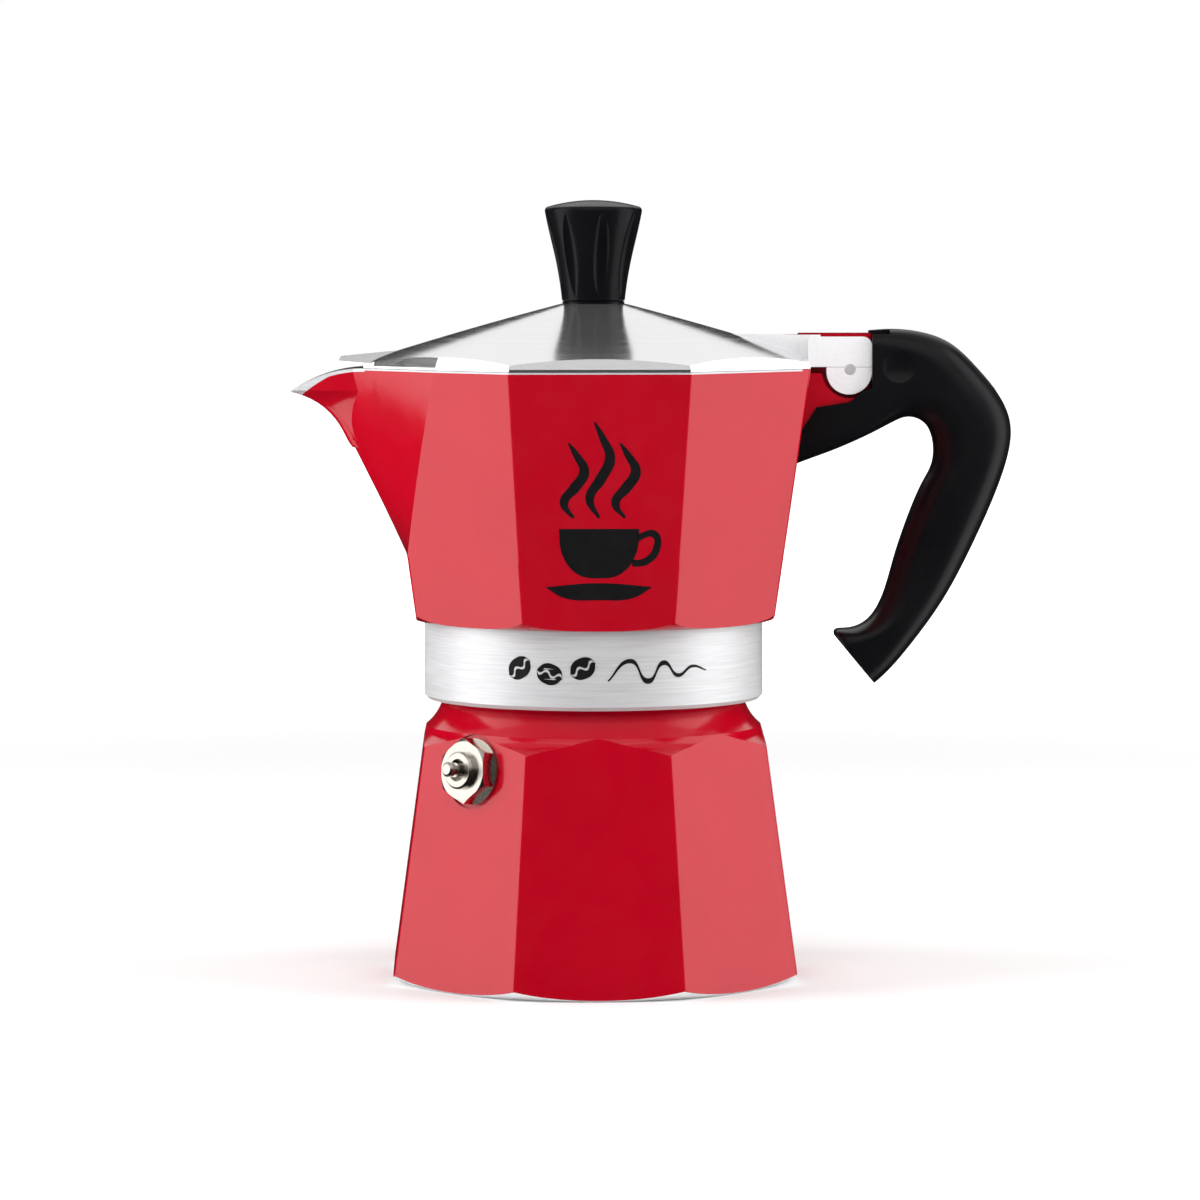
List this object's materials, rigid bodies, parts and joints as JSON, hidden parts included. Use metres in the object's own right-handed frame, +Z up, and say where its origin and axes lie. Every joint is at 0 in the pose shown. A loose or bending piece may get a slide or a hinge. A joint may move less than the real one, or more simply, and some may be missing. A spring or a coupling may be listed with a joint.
{
  "type": "stovetop moka pot",
  "caption": "Octagonal stovetop coffee maker: screw-on spouted jug over a tapered boiler, hinged cone lid, side grip and safety valve.",
  "frame": {"origin": "centre of the flat base, on the pot's axis", "axes": "+Z up along the pot's axis, -X towards the spout, +X towards the handle; -Y is the side a right-handed user sees"},
  "size_m": [0.1533, 0.09, 0.1654],
  "materials": {
    "red_lacquer": "gloss red lacquer over cast aluminium, bare turned band and rims",
    "polished_aluminium": "polished and turned aluminium",
    "pressed_aluminium": "satin pressed sheet aluminium",
    "black_plastic": "satin black heat-proof plastic",
    "nickel": "turned nickel-plated brass",
    "steel": "plain steel",
    "rubber": "white food-safe rubber"
  },
  "bodies": {
    "boiler": {"boiler": "red_lacquer", "valve_body": "nickel", "valve_washer": "nickel", "valve_seat": "nickel", "valve_bush": "nickel", "valve_spring": "steel"},
    "stem": {"valve_stem": "nickel", "valve_seal": "rubber"},
    "funnel": {"funnel_basket": "pressed_aluminium", "funnel_screen": "pressed_aluminium", "funnel_stem": "pressed_aluminium"},
    "seal": {"gasket": "rubber", "filter_plate": "pressed_aluminium"},
    "collector": {"collector": "red_lacquer", "handle": "black_plastic", "handle_screw": "steel"},
    "lid": {"lid": "polished_aluminium", "hinge_pin": "steel", "knob": "black_plastic", "knob_pad": "black_plastic", "knob_screw": "steel"}
  },
  "joints": [
    {"name": "top_unscrew", "type": "hinge", "parent": "seal", "child": "collector", "pos_m": [0, 0, 0.07], "axis": [0, 0, 1], "range_deg": [0, 900]},
    {"name": "top_rise", "type": "slide", "parent": "boiler", "child": "seal", "axis": [0, 0, 1], "range_m": [0, 0.0076]},
    {"name": "funnel_lift", "type": "slide", "parent": "boiler", "child": "funnel", "axis": [0, 0, 1], "range_m": [0, 0.0076]},
    {"name": "lid_hinge", "type": "hinge", "parent": "collector", "child": "lid", "pos_m": [0.0542, 0, 0.1296], "axis": [0, 1, 0], "range_deg": [0, 95]},
    {"name": "valve_slide", "type": "slide", "parent": "boiler", "child": "stem", "axis": [-0.7009, -0.7009, 0.1324], "range_m": [0, 0.0015], "stiffness_N_per_m": 400, "springref_m": -0.002, "deforming": ["valve_spring"]}
  ],
  "couplings": [
    {"joint": "top_rise", "follows": "top_unscrew", "m_per_rad": 0.00047746},
    {"joint": "funnel_lift", "follows": "top_unscrew", "m_per_rad": 0.00047746}
  ]
}
